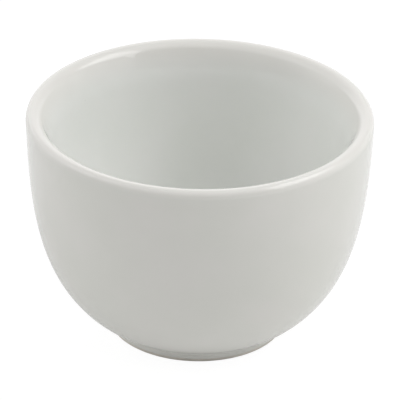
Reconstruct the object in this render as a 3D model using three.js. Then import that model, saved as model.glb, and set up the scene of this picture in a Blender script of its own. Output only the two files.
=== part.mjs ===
// Handleless porcelain tea cup: a deep round bowl on a low foot ring, under a glossy white glaze.
// Millimetres, +Z up, with the origin at the centre of the plane that the foot stands on.
// Every piece is turned about the Z axis from one closed profile of radius and height.
// The finished surface is drawn first, and the clay under it lies one glaze thickness deeper.

import * as THREE from 'three';

// The lip and the overall size, measured over the glaze
const RIM_RADIUS = 38.1;
const CUP_HEIGHT = 51.8;
const LIP_OUTER_WIDTH = 1.3;
const LIP_OUTER_DROP = 1.9;
const LIP_INNER_ROUND = 2.5;
const GLAZE = 0.3;

// The outside of the bowl: its slope above the foot, its lean under the lip and how full the curve is
const BELLY_SLOPE = 30.6;
const LIP_LEAN = 1.7;
const BELLY_FULLNESS = 0.855;
const SIDE_FULLNESS = 0.44;

// The inside: a bevel below the lip, the wall under it, and the floor
const BEVEL_LEAN = 26;
const BEVEL_DEPTH = 8.6;
const WALL_AT_BEVEL = 5.6;
const INSIDE_LEAN = 6;
const INSIDE_FULLNESS = 0.6;
const FLOOR_FULLNESS = 0.89;
const FLOOR_THICKNESS = 4.9;
const FLOOR_FLAT_RADIUS = 8;

// The foot ring: radius at the glaze line, crease under the bowl, bare band and the recess inside it
const FOOT_RADIUS = 20.05;
const FOOT_LEAN = 8;
const FOOT_CREASE = 2.2;
const FOOT_FILLET = 1.2;
const FOOT_BAND = 2.4;
const FOOT_EDGE = 0.4;
const GLAZE_LINE = 0.8;
const RECESS_LEAN = 14;
const RECESS_FILLET = 0.9;

// Facets round the axis, and steps along each stretch of the profile
const SEGMENTS = 48;
const EDGE_STEPS = 3;
const FILLET_STEPS = 3;
const BELLY_STEPS = 10;
const LIP_STEPS = 4;
const BEVEL_STEPS = 3;
const INSIDE_STEPS = 9;

const radians = THREE.MathUtils.degToRad;
const at = (radius, height) => new THREE.Vector2(radius, height);
const heading = (angle) => at(Math.cos(radians(angle)), Math.sin(radians(angle)));
const along = (angle, length = 1) => heading(angle).multiplyScalar(length);

// Profiles run with the clay on the left and the air on the right: the air is a quarter turn clockwise.
const airSide = (direction) => at(direction.y, -direction.x);

function arc(centre, radius, from, to) {
  return new THREE.EllipseCurve(centre.x, centre.y, radius, radius, radians(from), radians(to), to < from);
}

// A stretch of an ellipse that rounds the lip below its top, between two directions of its normal
function crown(top, width, drop, from, to) {
  const turn = (angle) => at(width, drop).multiply(heading(angle)).angle();
  return new THREE.EllipseCurve(top.x, top.y - drop, width, drop, turn(from), turn(to));
}

// A curve that leaves one point along one heading and reaches another point along a second heading
function sweep(start, leaveAngle, leaveLength, end, reachAngle, reachLength) {
  const leave = start.clone().add(along(leaveAngle, leaveLength));
  const reach = end.clone().sub(along(reachAngle, reachLength));
  return new THREE.CubicBezierCurve(start, leave, reach, end);
}

// A hollow fillet in the corner where one straight heading meets another
function hollowFillet(corner, fromAngle, toAngle, radius) {
  const reach = radius * Math.tan(radians((fromAngle - toAngle) / 2));
  const start = corner.clone().sub(along(fromAngle, reach));
  const end = corner.clone().add(along(toAngle, reach));
  const centre = airSide(along(fromAngle, radius)).add(start);
  return { start, end, curve: arc(centre, radius, fromAngle + 90, toAngle + 90) };
}

// Points along a chain of curves, on the finished surface and, one glaze thickness deeper, on the clay
function trace(stretches) {
  const glazed = [];
  const clay = [];
  for (const [curve, steps] of stretches) {
    for (let step = glazed.length > 0 ? 1 : 0; step <= steps; step += 1) {
      const point = curve.getPoint(step / steps);
      const normal = airSide(curve.getTangent(step / steps));
      glazed.push(point);
      clay.push(point.clone().addScaledVector(normal, -GLAZE));
    }
  }
  return { glazed, clay };
}

// The outside of the foot, from the glaze line up to the bowl
const footHeading = 90 - FOOT_LEAN;
const footLine = at(FOOT_RADIUS, GLAZE_LINE);
const crease = at(FOOT_RADIUS + (FOOT_CREASE - GLAZE_LINE) * Math.tan(radians(FOOT_LEAN)), FOOT_CREASE);
const footFillet = hollowFillet(crease, footHeading, BELLY_SLOPE, FOOT_FILLET);
const footOutside = trace([
  [new THREE.LineCurve(footLine, footFillet.start), 1],
  [footFillet.curve, FILLET_STEPS],
]);

// The outside of the bowl, from the foot to the top of the lip
const lipTop = at(RIM_RADIUS - LIP_OUTER_WIDTH, CUP_HEIGHT);
const lipOutside = crown(lipTop, LIP_OUTER_WIDTH, LIP_OUTER_DROP, -LIP_LEAN, 90);
const lipOuter = lipOutside.getPoint(0);
const bellyReach = BELLY_FULLNESS * (lipOuter.x - footFillet.end.x) / Math.cos(radians(BELLY_SLOPE));
const sideReach = SIDE_FULLNESS * (lipOuter.y - footFillet.end.y);
const belly = sweep(footFillet.end, BELLY_SLOPE, bellyReach, lipOuter, 90 - LIP_LEAN, sideReach);
const bowlOutside = trace([
  [belly, BELLY_STEPS],
  [lipOutside, LIP_STEPS],
]);

// The flat underside of the bowl, which the ring is joined to
const joint = footOutside.clay.at(-1);

// The inside, from the top of the lip to the middle of the floor
const floorHeight = joint.y - GLAZE + FLOOR_THICKNESS;
const lipInside = crown(lipTop, LIP_INNER_ROUND, LIP_INNER_ROUND, 90, 180 - BEVEL_LEAN);
const bevelTop = lipInside.getPoint(1);
const bevelFoot = at(RIM_RADIUS - WALL_AT_BEVEL, CUP_HEIGHT - BEVEL_DEPTH);
const bevelReach = bevelTop.distanceTo(bevelFoot) / 3;
const bevel = sweep(bevelTop, 270 - BEVEL_LEAN, bevelReach, bevelFoot, 270 - INSIDE_LEAN, bevelReach);
const floorEdge = at(FLOOR_FLAT_RADIUS, floorHeight);
const insideReach = INSIDE_FULLNESS * (bevelFoot.y - floorEdge.y);
const floorReach = FLOOR_FULLNESS * (bevelFoot.x - floorEdge.x);
const insideWall = sweep(bevelFoot, 270 - INSIDE_LEAN, insideReach, floorEdge, 180, floorReach);
const bowlInside = trace([
  [lipInside, LIP_STEPS],
  [bevel, BEVEL_STEPS],
  [insideWall, INSIDE_STEPS],
  [new THREE.LineCurve(floorEdge, at(0, floorHeight)), 1],
]);

// The bare band of the foot, with its two rounded edges
const bareWall = footOutside.clay[0];
const edgeOuter = bareWall.x - (bareWall.y - FOOT_EDGE) * Math.tan(radians(FOOT_LEAN));
const bandOuter = edgeOuter - FOOT_EDGE;
const bandInner = bandOuter - FOOT_BAND;
const edgeInner = bandInner - FOOT_EDGE;
const outerEdge = arc(at(bandOuter, FOOT_EDGE), FOOT_EDGE, 270, 360).getPoints(EDGE_STEPS);
const innerEdge = arc(at(bandInner, FOOT_EDGE), FOOT_EDGE, 180, 270).getPoints(EDGE_STEPS);

// The recess under the floor, from the axis out to the ring and down to the glaze line
const recessHeading = 270 + RECESS_LEAN;
const recessNormal = airSide(along(recessHeading));
const ceiling = joint.y - GLAZE;
const bareInside = edgeInner - (GLAZE_LINE - FOOT_EDGE) * Math.tan(radians(RECESS_LEAN));
const recessLine = at(bareInside, GLAZE_LINE).addScaledVector(recessNormal, GLAZE);
const recessRun = (ceiling - recessLine.y) * Math.tan(radians(RECESS_LEAN));
const recessCorner = at(recessLine.x - recessRun, ceiling);
const recessFillet = hollowFillet(recessCorner, 0, recessHeading - 360, RECESS_FILLET);
const recess = trace([
  [new THREE.LineCurve(at(0, ceiling), recessFillet.start), 1],
  [recessFillet.curve, FILLET_STEPS],
  [new THREE.LineCurve(recessFillet.end, recessLine), 1],
]);

const back = (points) => [...points].reverse();
const closed = (points) => [...points, points[0]];

const profiles = {
  bowl: [at(0, joint.y), ...bowlOutside.clay, ...bowlInside.clay.slice(1)],
  foot_ring: closed([...innerEdge, ...outerEdge, ...footOutside.clay, ...recess.clay.slice(1)]),
  inside_glaze: [...back(bowlInside.clay), ...bowlInside.glazed],
  outside_glaze: closed([
    ...footOutside.glazed,
    ...bowlOutside.glazed.slice(1),
    ...back(bowlOutside.clay).slice(0, -1),
    ...back(footOutside.clay),
  ]),
  base_glaze: [...recess.glazed, ...back(recess.clay)],
};

const finishes = {
  bowl: { color: 0xeeebe2, roughness: 0.8 },
  foot_ring: { color: 0xe9e4d8, roughness: 0.8 },
  inside_glaze: { color: 0xdfe1dc, roughness: 0.12 },
  outside_glaze: { color: 0xe1e1dc, roughness: 0.12 },
  base_glaze: { color: 0xdfe0da, roughness: 0.15 },
};

const cup = new THREE.Group();
for (const [name, profile] of Object.entries(profiles)) {
  const geometry = new THREE.LatheGeometry(profile, SEGMENTS).rotateX(Math.PI / 2);
  const finish = new THREE.MeshStandardMaterial({ ...finishes[name], metalness: 0 });
  const piece = new THREE.Mesh(geometry, finish);
  piece.name = name;
  cup.add(piece);
}

export default cup;
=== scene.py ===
# %% [markdown]
# # A handleless porcelain tea cup
# The cup is a bowl of white clay on a low foot ring, under three coats of clear glaze: one poured inside,
# one that the outside is dipped in, and one brushed into the recess under the floor. The frame gives every
# piece its real size and place. Here the coats and the ring are turned again, finely enough for a smooth
# reflection, and they get the finish that makes fired glaze look like fired glaze.

# %% Load the frame
import math

import bpy
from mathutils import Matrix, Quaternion, Vector


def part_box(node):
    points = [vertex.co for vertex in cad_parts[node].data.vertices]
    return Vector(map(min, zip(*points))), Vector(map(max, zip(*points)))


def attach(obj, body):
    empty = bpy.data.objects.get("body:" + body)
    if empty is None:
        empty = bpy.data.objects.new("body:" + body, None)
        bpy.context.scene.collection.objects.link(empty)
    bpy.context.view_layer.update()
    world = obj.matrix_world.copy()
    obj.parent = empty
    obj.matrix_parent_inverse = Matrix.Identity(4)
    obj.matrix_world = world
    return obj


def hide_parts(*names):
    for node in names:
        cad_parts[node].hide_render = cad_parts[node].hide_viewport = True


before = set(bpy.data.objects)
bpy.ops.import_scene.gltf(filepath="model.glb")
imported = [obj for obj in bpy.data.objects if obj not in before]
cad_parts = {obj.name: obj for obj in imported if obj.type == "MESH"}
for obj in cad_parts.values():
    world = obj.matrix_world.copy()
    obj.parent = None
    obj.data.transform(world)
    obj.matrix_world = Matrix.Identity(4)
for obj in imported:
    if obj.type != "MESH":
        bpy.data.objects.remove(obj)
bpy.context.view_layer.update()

# %% [markdown]
# ## Sizes
# What the frame can be asked for is asked for: the rim, the height, the floor, the joint between bowl and
# ring and the thickness of the glaze. The rest are the sizes that the bowl was drawn with. They could be
# measured on the frame's facets, but a rounded lip or a small fillet has too few of them to give its radius.

# %% Sizes asked of the frame, in metres
MM = 0.001

outside_low, outside_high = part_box("outside_glaze")
inside_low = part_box("inside_glaze")[0]
bowl_low, bowl_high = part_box("bowl")

rim_radius = outside_high.x
cup_height = outside_high.z
glaze = cup_height - bowl_high.z
floor_height = inside_low.z + glaze
joint_height = bowl_low.z
glaze_line = outside_low.z
print(f"Rim {2 * rim_radius / MM:.1f} mm, height {cup_height / MM:.1f} mm, glaze {glaze / MM:.2f} mm")

# %% Sizes of the drawing, in metres and degrees
# The lip and the outside of the bowl
LIP_OUTER_WIDTH = 1.3 * MM
LIP_OUTER_DROP = 1.9 * MM
LIP_INNER_ROUND = 2.5 * MM
LIP_LEAN = 1.7
BELLY_SLOPE = 30.6
BELLY_FULLNESS = 0.855
SIDE_FULLNESS = 0.44

# The inside: a bevel below the lip, the wall under it, and the floor
BEVEL_LEAN = 26
BEVEL_DEPTH = 8.6 * MM
BEVEL_FULLNESS = 1 / 3
WALL_AT_BEVEL = 5.6 * MM
INSIDE_LEAN = 6
INSIDE_FULLNESS = 0.6
FLOOR_FULLNESS = 0.89
FLOOR_FLAT_RADIUS = 8 * MM

# The foot ring and the recess inside it
FOOT_RADIUS = 20.05 * MM
FOOT_LEAN = 8
FOOT_CREASE = 2.2 * MM
FOOT_FILLET = 1.2 * MM
FOOT_BAND = 2.4 * MM
FOOT_EDGE = 0.4 * MM
RECESS_LEAN = 14
RECESS_FILLET = 0.9 * MM

lip_width = LIP_OUTER_WIDTH + LIP_INNER_ROUND
print(f"Lip {lip_width / MM:.1f} mm thick, foot {2 * FOOT_RADIUS / MM:.1f} mm wide")

# %% [markdown]
# ## The profile
# A potter's template holds half of the cup's outline, and the wheel does the rest. The template is drawn
# here as a chain of arcs, straight lines and sweeps. Each point keeps the direction of the air beside it, so
# the clay under the glaze is the same outline moved one glaze thickness inwards. A Solidify modifier could
# give the coats their thickness too, but it would leave the ends of the coats square.

# %% Points and directions
def at(radius, height):
    return Vector((radius, height))


def along(angle, length=1.0):
    return at(math.cos(math.radians(angle)), math.sin(math.radians(angle))) * length


def tangent_of(angle):
    return math.tan(math.radians(angle))


def air_side(direction):
    """The air is a quarter turn clockwise from the way that the outline runs."""
    return at(direction.y, -direction.x).normalized()


# %% Stretches of the outline, as lists of points with their directions to the air
def straight(start, end, steps):
    normal = air_side(end - start)
    return [(start.lerp(end, step / steps), normal) for step in range(steps + 1)]


def arc(centre, radius, start, end, steps):
    facing = 1 if end > start else -1
    angles = [start + (end - start) * step / steps for step in range(steps + 1)]
    return [(centre + along(angle, radius), along(angle, facing)) for angle in angles]


def hollow_fillet(corner, from_angle, to_angle, radius, steps):
    """A hollow arc in the corner where one straight heading meets another."""
    reach = radius * tangent_of((from_angle - to_angle) / 2)
    start = corner - along(from_angle, reach)
    centre = start + air_side(along(from_angle)) * radius
    return arc(centre, radius, from_angle + 90, to_angle + 90, steps)


def crown(top, width, drop, start, end, steps):
    """A stretch of an ellipse below its top, between two directions that its normal points in."""
    centre = top - at(0, drop)
    stations = []
    for step in range(steps + 1):
        normal = along(start + (end - start) * step / steps)
        reach = math.hypot(normal.x * width, normal.y * drop)
        stations.append((centre + at(normal.x * width**2, normal.y * drop**2) / reach, normal))
    return stations


def sweep(start, leave_angle, leave_length, end, reach_angle, reach_length, steps):
    """A curve that leaves one point along one heading and reaches another along a second heading."""
    leave = start + along(leave_angle, leave_length)
    reach = end - along(reach_angle, reach_length)
    stations = []
    for step in range(steps + 1):
        gone = step / steps
        left = 1 - gone
        point = start * left**3 + leave * 3 * left**2 * gone + reach * 3 * left * gone**2 + end * gone**3
        slope = (leave - start) * left**2 + (reach - leave) * 2 * left * gone + (end - reach) * gone**2
        stations.append((point, air_side(slope)))
    return stations


# %% Chains of stretches, and the two surfaces along them
def chain(*stretches):
    stations = list(stretches[0])
    for stretch in stretches[1:]:
        stations += stretch[1:]
    return stations


def surface(stations):
    return [point for point, normal in stations]


def clay(stations):
    return [point - normal * glaze for point, normal in stations]


# %% [markdown]
# ## The outside
# The cup rises from a short foot, turns through a tight crease into a full belly, and ends nearly upright
# under the lip. Points along that outline could be placed by hand, but glossy glaze shows every small bump.
# One sweep from the crease to the lip has none.

# %% The outside, from the glaze line to the top of the lip
FOOT_WALL_STEPS = 4
FILLET_STEPS = 12
BELLY_STEPS = 80
LIP_STEPS = 36

foot_heading = 90 - FOOT_LEAN
crease = at(FOOT_RADIUS + (FOOT_CREASE - glaze_line) * tangent_of(FOOT_LEAN), FOOT_CREASE)
foot_fillet = hollow_fillet(crease, foot_heading, BELLY_SLOPE, FOOT_FILLET, FILLET_STEPS)
foot_wall = straight(at(FOOT_RADIUS, glaze_line), foot_fillet[0][0], FOOT_WALL_STEPS)

lip_top = at(rim_radius - LIP_OUTER_WIDTH, cup_height)
lip_outside = crown(lip_top, LIP_OUTER_WIDTH, LIP_OUTER_DROP, -LIP_LEAN, 90, LIP_STEPS)
lip_outer = lip_outside[0][0]
belly_start = foot_fillet[-1][0]
belly_reach = BELLY_FULLNESS * (lip_outer.x - belly_start.x) / math.cos(math.radians(BELLY_SLOPE))
side_reach = SIDE_FULLNESS * (lip_outer.y - belly_start.y)
belly = sweep(belly_start, BELLY_SLOPE, belly_reach, lip_outer, 90 - LIP_LEAN, side_reach, BELLY_STEPS)
outside = chain(foot_wall, foot_fillet, belly, lip_outside)
print("Outside profile:", len(outside), "points, from", outside[0][0] / MM, "to", outside[-1][0] / MM)

# %% [markdown]
# ## The inside
# Below the rounded lip a bevel leads into the wall, and the wall runs down to an almost flat floor. The
# outside could be copied and shrunk, but then the wall would be as thick at the lip as it is at the floor.
# So the inside is a chain of its own, which starts where the outside ends.

# %% The inside, from the top of the lip to the middle of the floor
BEVEL_STEPS = 24
INSIDE_STEPS = 70
FLOOR_STEPS = 6

bevel_heading = 270 - BEVEL_LEAN
inside_heading = 270 - INSIDE_LEAN
lip_inside = crown(lip_top, LIP_INNER_ROUND, LIP_INNER_ROUND, 90, 180 - BEVEL_LEAN, LIP_STEPS)
bevel_top = lip_inside[-1][0]
bevel_foot = at(rim_radius - WALL_AT_BEVEL, cup_height - BEVEL_DEPTH)
bevel_reach = BEVEL_FULLNESS * (bevel_foot - bevel_top).length
floor_edge = at(FLOOR_FLAT_RADIUS, floor_height)
inside_reach = INSIDE_FULLNESS * (bevel_foot.y - floor_edge.y)
floor_reach = FLOOR_FULLNESS * (bevel_foot.x - floor_edge.x)

bevel = sweep(bevel_top, bevel_heading, bevel_reach, bevel_foot, inside_heading, bevel_reach, BEVEL_STEPS)
inside_wall = sweep(bevel_foot, inside_heading, inside_reach, floor_edge, 180, floor_reach, INSIDE_STEPS)
floor = straight(floor_edge, at(0, floor_height), FLOOR_STEPS)
inside = chain(lip_inside, bevel, inside_wall, floor)
print("Inside profile:", len(inside), "points")

# %% [markdown]
# ## The foot band and the recess
# The cup stands on a narrow band that was wiped bare, because glaze would stick to the shelf of the kiln.
# Inside the ring the underside is hollowed out, so that the cup stands firm. A Boolean could cut the recess
# out of a disc, but small arcs in the template round its edges as a potter's sponge does.

# %% The bare band and the recess under the floor
EDGE_STEPS = 8
CEILING_STEPS = 6
RECESS_WALL_STEPS = 4

bare_wall = clay(foot_wall)[0]
edge_outer = bare_wall.x - (bare_wall.y - FOOT_EDGE) * tangent_of(FOOT_LEAN)
band_outer = edge_outer - FOOT_EDGE
band_inner = band_outer - FOOT_BAND
edge_inner = band_inner - FOOT_EDGE
outer_edge = arc(at(band_outer, FOOT_EDGE), FOOT_EDGE, 270, 360, EDGE_STEPS)
inner_edge = arc(at(band_inner, FOOT_EDGE), FOOT_EDGE, 180, 270, EDGE_STEPS)

recess_heading = RECESS_LEAN - 90
ceiling = joint_height - glaze
bare_inside = edge_inner - (glaze_line - FOOT_EDGE) * tangent_of(RECESS_LEAN)
recess_line = at(bare_inside, glaze_line) + air_side(along(recess_heading)) * glaze
recess_run = (ceiling - recess_line.y) * tangent_of(RECESS_LEAN)
recess_corner = at(recess_line.x - recess_run, ceiling)
recess_fillet = hollow_fillet(recess_corner, 0, recess_heading, RECESS_FILLET, FILLET_STEPS)
recess_ceiling = straight(at(0, ceiling), recess_fillet[0][0], CEILING_STEPS)
recess_wall = straight(recess_fillet[-1][0], recess_line, RECESS_WALL_STEPS)
recess = chain(recess_ceiling, recess_fillet, recess_wall)
print(f"Bare band from {band_inner / MM:.2f} to {band_outer / MM:.2f} mm")
print(f"Recess {ceiling / MM:.2f} mm deep")

# %% [markdown]
# ## The ends of the glaze
# Where a coat of glaze ends above the table, the melt drew itself into a round edge. A Bevel modifier could
# round it after the turning, but it is simpler in the template: a quarter circle as wide as the coat is
# thick leads from the bare clay to the surface of the glaze.

# %% Round edges of the glaze
def rolled_edge(stations):
    point, normal = stations[0]
    up = (stations[1][0] - point).normalized()
    centre = point - normal * glaze + up * glaze
    turns = [math.radians(90 * step / EDGE_STEPS) for step in range(EDGE_STEPS)]
    return [centre + (normal * math.sin(turn) - up * math.cos(turn)) * glaze for turn in turns]


def above_edge(stations):
    point = stations[0][0]
    return [place for place in surface(stations) if (place - point).length > glaze]


# %% One closed loop for each piece
recess_rise = list(reversed(recess))
outside_loop = rolled_edge(outside) + above_edge(outside) + list(reversed(clay(outside)))
inside_loop = list(reversed(clay(inside))) + surface(inside)
base_loop = list(reversed(rolled_edge(recess_rise) + above_edge(recess_rise))) + clay(recess_rise)
foot_clay = clay(chain(foot_wall, foot_fillet)) + clay(recess)[CEILING_STEPS:]
foot_loop = surface(chain(inner_edge, outer_edge)) + foot_clay
foot_loop.append(foot_loop[0])
print("Loops of", len(outside_loop), len(inside_loop), len(base_loop), len(foot_loop), "points")

# %% [markdown]
# ## Node trees in Python
# Both the turning and the finishes are node trees. They could be drawn by hand in Blender's editors, but
# then they couldn't be read here. A wire is one output of a node, and arithmetic on wires adds the Math
# nodes for it. Any other node comes from `add`, which sets its options first and its sockets after.

# %% Wires
class Wire:
    def __init__(self, tree, socket):
        self.tree = tree
        self.socket = socket

    def math(self, operation, *others):
        sockets = dict(enumerate((self, *others)))
        return self.tree.add("ShaderNodeMath", {"operation": operation}, sockets)[0]

    def reflected(self, operation, other):
        return self.tree.add("ShaderNodeMath", {"operation": operation}, {0: other, 1: self})[0]

    def __add__(self, other):
        return self.math("ADD", other)

    def __sub__(self, other):
        return self.math("SUBTRACT", other)

    def __rsub__(self, other):
        return self.reflected("SUBTRACT", other)

    def __mul__(self, other):
        return self.math("MULTIPLY", other)

    def __truediv__(self, other):
        return self.math("DIVIDE", other)

    def __rtruediv__(self, other):
        return self.reflected("DIVIDE", other)

    __radd__ = __add__
    __rmul__ = __mul__


class Made:
    """A node that was made, whose outputs are wires."""

    def __init__(self, tree, node):
        self.tree = tree
        self.node = node

    def __getitem__(self, output):
        return Wire(self.tree, self.node.outputs[output])


# %% Trees
# A Mix node has sockets of the same names for each type of data, so those for colours go by number.
MIX_FIRST = 6
MIX_SECOND = 7
MIX_RESULT = 2


class Tree:
    def __init__(self, node_tree):
        self.node_tree = node_tree
        node_tree.nodes.clear()

    def add(self, kind, settings=None, sockets=None):
        node = self.node_tree.nodes.new(kind)
        for name, value in (settings or {}).items():
            setattr(node, name, value)
        for name, value in (sockets or {}).items():
            if isinstance(value, Wire):
                self.node_tree.links.new(value.socket, node.inputs[name])
            else:
                node.inputs[name].default_value = value
        return Made(self, node)

    def ramp(self, value, low, high):
        """0 below low, 1 above high and a smooth step between; low may be the larger of the two."""
        sockets = {"Value": value, "From Min": low, "From Max": high}
        return self.add("ShaderNodeMapRange", {"interpolation_type": "SMOOTHSTEP"}, sockets)[0]

    def mix(self, factor, first, second):
        sockets = {"Factor": factor, MIX_FIRST: first, MIX_SECOND: second}
        return self.add("ShaderNodeMix", {"data_type": "RGBA"}, sockets)[MIX_RESULT]


# %% [markdown]
# ## Turning on the wheel
# Every piece is the same act with another template. A Screw modifier could turn each one, but Geometry Nodes
# do it for all of them in one tree with named inputs. The tree takes the template as a chain of points, lays
# out a grid of facets by points, and sends each grid point to the template's point of that row, turned round
# the axis by its column. Merging closes the seam and the middle of the floor.

# %% Steps of the wheel
SHARP_ANGLE = math.radians(50)


def turned_place(tree, template, facets, count):
    """Where each grid point goes: to the template's point of its row, turned by its column."""
    index = tree.add("GeometryNodeInputIndex")[0]
    column = (index / count).math("FLOOR")
    row = index - column * count
    place = tree.add("GeometryNodeInputPosition")[0]
    sockets = {"Geometry": template, "Value": place, "Index": row}
    point = tree.add("GeometryNodeSampleIndex", {"data_type": "FLOAT_VECTOR"}, sockets)[0]
    split = tree.add("ShaderNodeSeparateXYZ", None, {0: point})
    turn = column / facets * math.tau
    radius = split["X"]
    sockets = {"X": radius * turn.math("COSINE"), "Y": radius * turn.math("SINE"), "Z": split["Z"]}
    return tree.add("ShaderNodeCombineXYZ", None, sockets)[0]


def shaded(tree, shell):
    """Smooth shading, apart from the edges that bend more than the sharp angle."""
    smooth = tree.add("GeometryNodeSetShadeSmooth", {"domain": "FACE"}, {"Geometry": shell})[0]
    bend = tree.add("GeometryNodeInputMeshEdgeAngle")["Unsigned Angle"]
    sockets = {"Geometry": smooth, "Shade Smooth": bend.math("LESS_THAN", SHARP_ANGLE)}
    return tree.add("GeometryNodeSetShadeSmooth", {"domain": "EDGE"}, sockets)[0]


# %% The wheel, as a node group
MERGE_DISTANCE = 0.0005 * MM


def build_wheel():
    group = bpy.data.node_groups.new("turned_on_the_wheel", "GeometryNodeTree")
    inputs = {}
    for name, kind in (("Template", "Geometry"), ("Facets", "Int"), ("Finish", "Material")):
        socket = group.interface.new_socket(name, in_out="INPUT", socket_type="NodeSocket" + kind)
        inputs[name] = socket.identifier
    group.interface.new_socket("Piece", in_out="OUTPUT", socket_type="NodeSocketGeometry")
    tree = Tree(group)
    given = tree.add("NodeGroupInput")
    template = given["Template"]
    facets = given["Facets"]
    domain = tree.add("GeometryNodeAttributeDomainSize", {"component": "MESH"}, {0: template})
    count = domain["Point Count"]
    sockets = {"Vertices X": facets + 1, "Vertices Y": count}
    grid = tree.add("GeometryNodeMeshGrid", None, sockets)["Mesh"]
    sockets = {"Geometry": grid, "Position": turned_place(tree, template, facets, count)}
    shell = tree.add("GeometryNodeSetPosition", None, sockets)[0]
    sockets = {"Geometry": shell, "Distance": MERGE_DISTANCE}
    joined = tree.add("GeometryNodeMergeByDistance", None, sockets)[0]
    whole = tree.add("GeometryNodeRealizeInstances", None, {"Geometry": shaded(tree, joined)})[0]
    sockets = {"Geometry": whole, "Material": given["Finish"]}
    finished = tree.add("GeometryNodeSetMaterial", None, sockets)[0]
    tree.add("NodeGroupOutput", None, {"Piece": finished})
    return group, inputs


wheel, wheel_inputs = build_wheel()
print("The wheel has", len(wheel.nodes), "nodes and takes", list(wheel_inputs))

# %% One piece from one template
FACETS = 192


def turn_piece(name, loop, finish):
    template = bpy.data.meshes.new(name + "_template")
    steps = [(step, step + 1) for step in range(len(loop) - 1)]
    template.from_pydata([(point.x, 0, point.y) for point in loop], steps, [])
    piece = bpy.data.objects.new(name, template)
    bpy.context.scene.collection.objects.link(piece)
    modifier = piece.modifiers.new("wheel", "NODES")
    modifier.node_group = wheel
    modifier[wheel_inputs["Facets"]] = FACETS
    modifier[wheel_inputs["Finish"]] = finish
    evaluated = piece.evaluated_get(bpy.context.evaluated_depsgraph_get())
    solid = bpy.data.meshes.new_from_object(evaluated)
    piece.modifiers.remove(modifier)
    piece.data = solid
    print(name, "has", len(solid.polygons), "faces")
    return piece


# %% [markdown]
# ## Fired glaze
# A clear glaze on white clay is never one flat colour. It is a shade greener inside, where it was poured and
# ran thick, and a little warmer over the lip, where it is thin. Its tints also carry painted light and
# shade:
# the outside is painted darker than the inside as painted shade on the front of the bowl, the foot is
# painted lighter as painted light in the shade under the belly, and the lip's darker, warmer tint runs down
# the inside bevel as painted shade and reflection. Slow clouds lie in it, and its skin has slow waves from
# the dip and a finer ripple from the melt. A picture could be wrapped round the cup, but noise on the
# object's own coordinates has no seam and keeps its real size.

# %% Shared parts of a finish
def opaque(tint):
    return (*tint, 1)


def new_finish(name):
    material = bpy.data.materials.new(name)
    material.use_nodes = True
    return material, Tree(material.node_tree)


def noise(tree, place, scale, detail):
    sockets = {"Vector": place, "Scale": scale, "Detail": detail}
    return tree.add("ShaderNodeTexNoise", None, sockets)["Fac"]


def bumped(tree, height, depth):
    return tree.add("ShaderNodeBump", None, {"Height": height, "Distance": depth})["Normal"]


def close_finish(material, tree, sockets):
    shader = tree.add("ShaderNodeBsdfPrincipled", None, sockets)["BSDF"]
    tree.add("ShaderNodeOutputMaterial", None, {"Surface": shader})
    print(material.name, "is a finish of", len(material.node_tree.nodes), "nodes")
    return material


# %% [markdown]
# ## Iron specks
# Grains of iron in the clay burn to faint brown dots under the glaze. Each could be a small mesh, but a dot
# without thickness is better as colour. A Voronoi texture gives the distance to the nearest of many
# scattered points, and what lies within a speck's radius of one is tinted. The two specks that show on the
# real cup have places of their own.

# %% Iron specks
SPECK_RADIUS = 0.35 * MM
SPECK_SPACING = 11 * MM
SEEN_SPECKS = [Vector((-6.50, -35.60, 28.39)) * MM, Vector((21.83, 22.21, 29.20)) * MM]


def specks(tree, place):
    sockets = {"Vector": place, "Scale": 1 / SPECK_SPACING}
    nearest = tree.add("ShaderNodeTexVoronoi", None, sockets)["Distance"] * SPECK_SPACING
    for spot in SEEN_SPECKS:
        away = tree.add("ShaderNodeVectorMath", {"operation": "DISTANCE"}, {0: place, 1: spot})["Value"]
        nearest = nearest.math("MINIMUM", away)
    return tree.ramp(nearest, SPECK_RADIUS, 0)


# %% The glaze
# Scales of noise are in cells per metre.
CLOUD_SCALE = 70
CLOUD_DETAIL = 3
CLOUD_FROM = 0.3
CLOUD_TO = 0.7
CLOUD_TINT = (0.975, 0.985, 0.975)
WAVE_SCALE = 60
WAVE_DETAIL = 1
WAVE_DEPTH = 0.010 * MM
RIPPLE_SCALE = 900
RIPPLE_DETAIL = 2
RIPPLE_SHARE = 0.05
# The tint of the thin glaze over the lip; on the inside it also runs down the bevel as painted shade and
# reflection.
LIP_AND_SHADED_BEVEL_TINT = (0.785, 0.772, 0.738)
IRON_TINT = (0.30, 0.24, 0.17)
IRON_SHARE = 0.08
GLOSS = 0.02
GLOSS_SPREAD = 0.03
GLAZE_IOR = 1.5


def glaze_finish(name, tint, low_tint, low_from, low_to, lip_fade):
    """Glaze of one tint, which turns to another tint at the bottom and to the lip's tint at the top."""
    material, tree = new_finish(name)
    place = tree.add("ShaderNodeTexCoord")["Object"]
    height = tree.add("ShaderNodeSeparateXYZ", None, {0: place})["Z"]
    clouds = tree.ramp(noise(tree, place, CLOUD_SCALE, CLOUD_DETAIL), CLOUD_FROM, CLOUD_TO)
    cloudy = [share * level for share, level in zip(CLOUD_TINT, tint)]
    colour = tree.mix(clouds, opaque(tint), opaque(cloudy))
    colour = tree.mix(tree.ramp(height, low_from, low_to), colour, opaque(low_tint))
    colour = tree.mix(tree.ramp(height, cup_height - lip_fade, cup_height), colour, opaque(LIP_AND_SHADED_BEVEL_TINT))
    colour = tree.mix(specks(tree, place) * IRON_SHARE, colour, opaque(IRON_TINT))
    waves = noise(tree, place, WAVE_SCALE, WAVE_DETAIL)
    ripple = noise(tree, place, RIPPLE_SCALE, RIPPLE_DETAIL)
    sockets = {
        "Base Color": colour,
        "Roughness": GLOSS + waves * GLOSS_SPREAD,
        "IOR": GLAZE_IOR,
        "Normal": bumped(tree, waves + ripple * RIPPLE_SHARE, WAVE_DEPTH),
    }
    return close_finish(material, tree, sockets)
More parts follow.
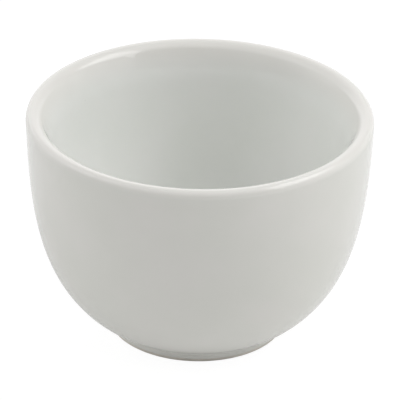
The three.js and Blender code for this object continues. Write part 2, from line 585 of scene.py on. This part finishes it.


# %% [markdown]
# ## Three coats from one recipe
# The same glaze lies inside, outside and in the recess, but not at the same thickness. One material for all
# would look painted, and three written out would drift apart. So one function mixes all three, and each coat
# gives it a tint, a second tint, and the heights between which it changes. Inside, the second tint is where
# the glaze pools on the floor, and in the recess it is darker towards the ceiling. Outside, the tint is
# painted shade, darker than the inside's, and the second tint is painted light on the foot.

# %% The three coats
# Painted shade: the outside's tint is about a sixth darker than the inside's, for the front of the bowl,
# which the tent lights too brightly; the real glaze is the same on both sides.
OUTSIDE_SHADED_TINT = (0.666, 0.66, 0.626)
# Painted light: the foot below the crease gets a lighter tint, for the shade under the belly, which the tent
# leaves too dark.
FOOT_PAINTED_LIGHT_TINT = (0.79, 0.785, 0.747)
INSIDE_TINT = (0.806, 0.811, 0.788)
FLOOR_TINT = (0.795, 0.804, 0.78)
BASE_TINT = (0.74, 0.735, 0.70)
CORNER_TINT = (0.71, 0.715, 0.675)
# Height above the crease over which the foot's painted light fades out.
FOOT_LIGHT_FADE = 1.2 * MM
FLOOR_FADE = 8 * MM
LIP_FADE = 2 * MM
# Painted shade and reflection: on the inside, the lip's darker, warmer tint reaches this far down the bevel.
BEVEL_SHADE_FADE = 7 * MM

outside_finish = glaze_finish(
    "outside_glaze", OUTSIDE_SHADED_TINT, FOOT_PAINTED_LIGHT_TINT, FOOT_CREASE + FOOT_LIGHT_FADE, FOOT_CREASE, LIP_FADE
)
inside_finish = glaze_finish(
    "inside_glaze", INSIDE_TINT, FLOOR_TINT, floor_height + FLOOR_FADE, floor_height, BEVEL_SHADE_FADE
)
base_finish = glaze_finish("base_glaze", BASE_TINT, CORNER_TINT, glaze_line, ceiling, LIP_FADE)

# %% [markdown]
# ## Bare clay
# The foot was wiped clean of glaze so that it wouldn't stick in the kiln. Fired porcelain clay is dense and
# matt, a little warmer than the glaze, with fine rings from the trimming tool, a warm line where the glaze
# stops, and grey rubs from tables. The rings could be cut into the mesh, but they are finer than its facets.
# They follow the radius, so their noise is read along it far more finely than round the axis.

# %% The biscuit
CLAY_TINT = (0.74, 0.71, 0.655)
CLAY_ROUGHNESS = 0.86
GRAIN_SCALE = 2600
GRAIN_DETAIL = 4
GRAIN_DEPTH = 0.02 * MM
GRAIN_SHARE = 0.6
GRAIN_TINT = (0.66, 0.63, 0.575)
RING_SCALE = 5200
RING_DETAIL = 2
RING_SHARE = 0.4
FLASH_WIDTH = 0.6 * MM
FLASH_SHARE = 0.2
FLASH_TINT = (0.70, 0.58, 0.46)
RUB_SCALE = 260
RUB_DETAIL = 3
RUB_FROM = 0.52
RUB_TO = 0.72
RUB_HEIGHT = 0.3 * MM
RUB_SHARE = 0.6
RUB_POLISH = 0.25
RUB_TINT = (0.47, 0.45, 0.42)


def ring_noise(tree, split):
    """Noise that changes fast along the radius and slowly round the axis; its places are scaled first."""
    radius = (split["X"] * split["X"] + split["Y"] * split["Y"]).math("SQRT")
    sockets = {"X": radius * RING_SCALE, "Y": split["X"] / radius, "Z": split["Y"] / radius}
    round_axis = tree.add("ShaderNodeCombineXYZ", None, sockets)[0]
    return noise(tree, round_axis, 1, RING_DETAIL)


def biscuit_finish(name):
    material, tree = new_finish(name)
    place = tree.add("ShaderNodeTexCoord")["Object"]
    split = tree.add("ShaderNodeSeparateXYZ", None, {0: place})
    rings = ring_noise(tree, split)
    grain = noise(tree, place, GRAIN_SCALE, GRAIN_DETAIL)
    rub = tree.ramp(noise(tree, place, RUB_SCALE, RUB_DETAIL), RUB_FROM, RUB_TO)
    worn = rub * tree.ramp(split["Z"], RUB_HEIGHT, 0)
    flash = tree.ramp(split["Z"], glaze_line - FLASH_WIDTH, glaze_line)
    tint = tree.mix(grain, opaque(CLAY_TINT), opaque(GRAIN_TINT))
    tint = tree.mix(flash * FLASH_SHARE, tint, opaque(FLASH_TINT))
    tint = tree.mix(worn * RUB_SHARE, tint, opaque(RUB_TINT))
    sockets = {
        "Base Color": tint,
        "Roughness": CLAY_ROUGHNESS - worn * RUB_POLISH,
        "Normal": bumped(tree, grain * GRAIN_SHARE + rings * RING_SHARE, GRAIN_DEPTH),
    }
    return close_finish(material, tree, sockets)


biscuit = biscuit_finish("biscuit")

# %% [markdown]
# ## The pieces on the frame
# The three coats and the ring now come off the wheel. The frame's own solids could be smoothed instead, but
# smoothing would pull in their edges. Each turned piece takes the place of the solid of the same name and
# stays on the cup's one body. The bowl stays as it was packed, because the coats hide it on every side.

# %% Turn the coats and the ring
pieces = {
    "outside_glaze": (turn_piece("outside_coat", outside_loop, outside_finish), "glaze"),
    "inside_glaze": (turn_piece("inside_coat", inside_loop, inside_finish), "glaze"),
    "base_glaze": (turn_piece("base_coat", base_loop, base_finish), "glaze"),
    "foot_ring": (turn_piece("turned_foot", foot_loop, biscuit), "biscuit"),
}
for node, (piece, slot) in pieces.items():
    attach(piece, "root")
    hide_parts(node)

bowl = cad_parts["bowl"]
bowl.data.materials.clear()
bowl.data.materials.append(biscuit)
print(len(pieces), "pieces turned, and the bowl kept")

# %% [markdown]
# ## The table
# The cup stands on a white table that is lit by the tent round it. A plain white plane would do, but it
# would look grey beside a white background. So the camera sees a table that is nearly white by itself and
# keeps a faint shadow, while the cup gets the light that a real one throws back. In the glaze's reflection
# the table is brighter away from the cup, where nothing shades it.

# %% Directions round the cup, and what is seen
def towards(azimuth, elevation):
    """Unit vector to an azimuth, counted from the front to the right, and an elevation, both in degrees."""
    turn = math.radians(azimuth)
    rise = math.radians(elevation)
    return Vector((math.sin(turn) * math.cos(rise), -math.cos(turn) * math.cos(rise), math.sin(rise)))


def grey(level):
    return opaque((level, level, level))


def seen_directly(path):
    return path["Is Camera Ray"].math("MAXIMUM", path["Is Transmission Ray"])


# %% The white table
TABLE_HALF = 3.0
TABLE_DROP = 0.05 * MM
TABLE_BOUNCE = 0.90
TABLE_GLOW = 0.07
FAR_GLOW = 0.2
FAR_FROM = 0.1
FAR_TO = 0.4
TABLE_WHITE = 0.93
TABLE_SHADE = 0.12


def table_finish():
    material, tree = new_finish("white_table")
    path = tree.add("ShaderNodeLightPath")
    place = tree.add("ShaderNodeTexCoord")["Object"]
    distance = tree.add("ShaderNodeVectorMath", {"operation": "LENGTH"}, {0: place})["Value"]
    far_glow = path["Is Glossy Ray"] * tree.ramp(distance, FAR_FROM, FAR_TO) * FAR_GLOW
    glow = tree.add("ShaderNodeEmission", None, {"Strength": far_glow + TABLE_GLOW})[0]
    cloth = tree.add("ShaderNodeBsdfDiffuse", None, {"Color": grey(TABLE_BOUNCE)})[0]
    bounced = tree.add("ShaderNodeAddShader", None, {0: cloth, 1: glow})[0]
    white = tree.add("ShaderNodeEmission", None, {"Strength": TABLE_WHITE})[0]
    shade = tree.add("ShaderNodeBsdfDiffuse", None, {"Color": grey(TABLE_SHADE)})[0]
    shown = tree.add("ShaderNodeAddShader", None, {0: shade, 1: white})[0]
    either = tree.add("ShaderNodeMixShader", None, {0: seen_directly(path), 1: bounced, 2: shown})[0]
    tree.add("ShaderNodeOutputMaterial", None, {"Surface": either})
    return material


def build_table():
    mesh = bpy.data.meshes.new("table")
    signs = ((-1, -1), (1, -1), (1, 1), (-1, 1))
    corners = [(x * TABLE_HALF, y * TABLE_HALF, -TABLE_DROP) for x, y in signs]
    mesh.from_pydata(corners, [], [(0, 1, 2, 3)])
    mesh.materials.append(table_finish())
    table = bpy.data.objects.new("table", mesh)
    bpy.context.scene.collection.objects.link(table)
    print(f"The table is {2 * TABLE_HALF:.0f} m wide")


build_table()

# %% [markdown]
# ## The light tent
# Shiny things are photographed in a tent of white cloth that is lit from outside. Most of the light comes
# from the left and the right, a little above the cup, so the front of the bowl is its darkest side and the
# lip is its brightest part. Lower panels at the sides and the back keep light on the foot and in the rim.
# Each panel could be a lamp, but its edge would show in the glaze. So the world is the cloth, with a soft
# lobe of light round the direction of each panel.

# %% The light tent
# Each panel has an azimuth and an elevation in degrees, and a strength.
PANELS = {
    "left": (-90, 31, 1.92),
    "low left": (-105, 14, 0.35),
    "front left": (-45, 36, 0.95),
    "right": (90, 46, 1.6),
    "overhead": (0, 75, 0.75),
    "back left": (-140, 14, 1.2),
    "back right": (140, 16, 0.55),
    "back": (180, 36, 0.85),
    "low back": (180, 12, 0.3),
}
PANEL_FOCUS = 10

# The panels fade in above the horizon. The glaze also mirrors a pale cloth, low down at the back.
HORIZON = 0.15
BACK_WHITE = 0.75
BACK_FROM = -0.1
BACK_TO = 0.2
BACK_TOP = 0.4
BACK_LOW = 0.05


def build_tent():
    world = bpy.data.worlds.new("light_tent")
    bpy.context.scene.world = world
    world.use_nodes = True
    tree = Tree(world.node_tree)
    path = tree.add("ShaderNodeLightPath")
    view = tree.add("ShaderNodeTexCoord")["Generated"]
    split = tree.add("ShaderNodeSeparateXYZ", None, {0: view})
    low_back = tree.ramp(split["Y"], BACK_FROM, BACK_TO) * tree.ramp(split["Z"], BACK_TOP, BACK_LOW)
    glow = path["Is Glossy Ray"] * low_back * BACK_WHITE
    horizon = tree.ramp(split["Z"], 0, HORIZON)
    for azimuth, elevation, strength in PANELS.values():
        sockets = {0: view, 1: towards(azimuth, elevation)}
        facing = tree.add("ShaderNodeVectorMath", {"operation": "DOT_PRODUCT"}, sockets)["Value"]
        glow = glow + facing.math("MAXIMUM", 0).math("POWER", PANEL_FOCUS) * strength * horizon
    cloth = tree.add("ShaderNodeBackground", None, {"Color": grey(1), "Strength": glow})[0]
    white = tree.add("ShaderNodeBackground", None, {"Color": grey(1), "Strength": 1})[0]
    shown = tree.add("ShaderNodeMixShader", None, {0: seen_directly(path), 1: cloth, 2: white})[0]
    tree.add("ShaderNodeOutputWorld", None, {"Surface": shown})
    print("The tent has", len(PANELS), "lit panels")


build_tent()

# %% [markdown]
# ## The softbox
# One light does have edges. An upright softbox stands at the right, and a dimmer cloth hangs under it down
# to the table. On the inside of the lip they are mirrored as a streak with a crisp end, which the soft lobes
# of the tent can't draw. Area lamps can, and they stay out of the camera's sight.

# %% The softbox at the right and the cloth under it
# The lamps stand on an upright plane that faces the cup. Its turn, and its ends from there, are in degrees.
CLOTH_TURN = 105
CLOTH_DISTANCE = 0.60
CLOTH_FRONT = -55
CLOTH_BACK = 3

# Each lamp has the heights of its low edge and its high edge in metres, and a strength.
LAMPS = {
    "right_softbox": (0.40, 1.15, 2.85),
    "right_cloth": (0.0, 0.40, 0.60),
}


def build_lamp(name, low, high, strength):
    front = CLOTH_DISTANCE * tangent_of(CLOTH_FRONT)
    back = CLOTH_DISTANCE * tangent_of(CLOTH_BACK)
    outward = towards(CLOTH_TURN, 0)
    sideways = towards(CLOTH_TURN + 90, 0)
    light = bpy.data.lights.new(name, "AREA")
    light.shape = "RECTANGLE"
    light.size = back - front
    light.size_y = high - low
    light.energy = math.pi * light.size * light.size_y * strength
    lamp = bpy.data.objects.new(name, light)
    bpy.context.scene.collection.objects.link(lamp)
    lamp.location = outward * CLOTH_DISTANCE + sideways * (front + back) / 2
    lamp.location.z = (low + high) / 2
    lamp.rotation_mode = "QUATERNION"
    lamp.rotation_quaternion = outward.to_track_quat("Z", "Y")
    lamp.visible_camera = False
    print(f"{name} is {light.size:.2f} m wide and {light.size_y:.2f} m high")


for name, lamp_sizes in LAMPS.items():
    build_lamp(name, *lamp_sizes)

# %% [markdown]
# ## The camera
# The cup is seen from the front and from above, through a long lens, so that the far side of the rim is
# hardly smaller than the near side. A Track To constraint could aim the camera, but it keeps the horizon
# level, and this view leans by about one degree. So the camera is turned by a quaternion, with a roll.

# %% Camera
CAMERA_DISTANCE = 0.8
CAMERA_ELEVATION = 28.27
CAMERA_ROLL = 0.983
CAMERA_LENS = 324.74
CAMERA_SENSOR = 36
ORBIT_HEIGHT = 25.88 * MM
AIM = Vector((0.30, 1.70, 29.04)) * MM

camera_data = bpy.data.cameras.new("camera")
camera_data.lens = CAMERA_LENS
camera_data.sensor_width = CAMERA_SENSOR
camera = bpy.data.objects.new("camera", camera_data)
bpy.context.scene.collection.objects.link(camera)
orbit_centre = Vector((0, 0, ORBIT_HEIGHT))
camera.location = towards(0, CAMERA_ELEVATION) * CAMERA_DISTANCE + orbit_centre
level = (AIM - camera.location).to_track_quat("-Z", "Y")
camera.rotation_mode = "QUATERNION"
camera.rotation_quaternion = level @ Quaternion((0, 0, 1), math.radians(CAMERA_ROLL))
bpy.context.scene.camera = camera
bpy.context.scene.view_settings.view_transform = "Standard"
print("The camera stands at", camera.location)
